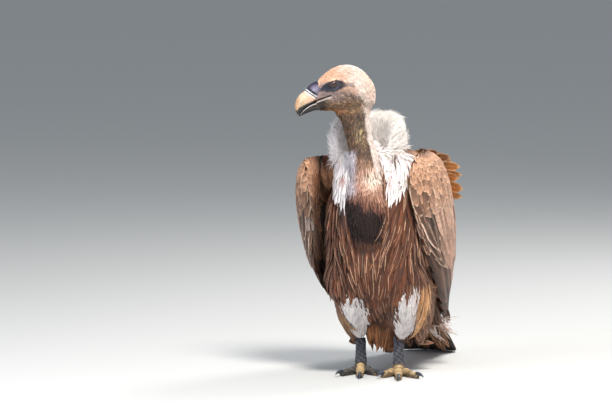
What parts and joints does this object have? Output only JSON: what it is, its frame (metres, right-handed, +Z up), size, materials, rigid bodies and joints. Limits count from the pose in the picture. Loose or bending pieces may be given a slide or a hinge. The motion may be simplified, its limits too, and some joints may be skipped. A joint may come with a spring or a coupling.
{
  "type": "standing griffon vulture figure",
  "caption": "Life-size still griffon vulture standing upright on flat toes and tail tip, wings hanging loosely, head turned to its right over a white ruff.",
  "frame": {"origin": "on the floor, under the middle of the bird's bounding box", "axes": "+Z up; the breast faces -Y and the bird's left side is +X; the head is turned to the bird's right, towards -X"},
  "size_m": [0.3114, 0.5624, 0.6236],
  "materials": {
    "white_down": "soft white down",
    "head_down": "short peach-buff down over grey skin",
    "neck_down": "short mottled down",
    "body_feathers": "long brown feathers with pale shafts",
    "crop_feathers": "dense velvety dark brown feathers",
    "covert_feathers": "sandy brown scaled feathers with pale rims",
    "flight_feathers": "blackish brown quill feathers",
    "rufous_feathers": "orange-brown feathers with pale rims",
    "leg_scales": "grey scaly skin",
    "toe_scales": "tan and grey scutes",
    "bill_horn": "pale yellowish horn, darker at the cutting edge",
    "cere_skin": "dark bluish bare skin",
    "claw": "dark grey horn",
    "eye": "wet brown"
  },
  "bodies": {
    "root": {"bill_lower": "bill_horn", "bill_upper": "bill_horn", "cere": "cere_skin", "claw_hallux_left": "claw", "claw_hallux_right": "claw", "claw_inner_left": "claw", "claw_inner_right": "claw", "claw_middle_left": "claw", "claw_middle_right": "claw", "claw_outer_left": "claw", "claw_outer_right": "claw", "crop": "crop_feathers", "eye_left": "eye", "eye_right": "eye", "head": "head_down", "neck_lower": "neck_down", "neck_upper": "neck_down", "ruff": "white_down", "rump": "body_feathers", "scapulars_left": "rufous_feathers", "scapulars_right": "rufous_feathers", "shank_left": "leg_scales", "shank_right": "leg_scales", "tail": "flight_feathers", "thigh_left": "white_down", "thigh_right": "white_down", "toe_hallux_left": "toe_scales", "toe_hallux_right": "toe_scales", "toe_inner_left": "toe_scales", "toe_inner_right": "toe_scales", "toe_middle_left": "toe_scales", "toe_middle_right": "toe_scales", "toe_outer_left": "toe_scales", "toe_outer_right": "toe_scales", "trousers_left": "body_feathers", "trousers_right": "body_feathers", "trunk": "body_feathers", "upper_arm_left": "covert_feathers", "upper_arm_right": "covert_feathers", "vent": "body_feathers", "wing_coverts_left": "covert_feathers", "wing_coverts_right": "covert_feathers", "wing_primaries_left": "flight_feathers", "wing_primaries_right": "flight_feathers", "wing_secondaries_left": "flight_feathers", "wing_secondaries_right": "flight_feathers"}
  },
  "joints": []
}
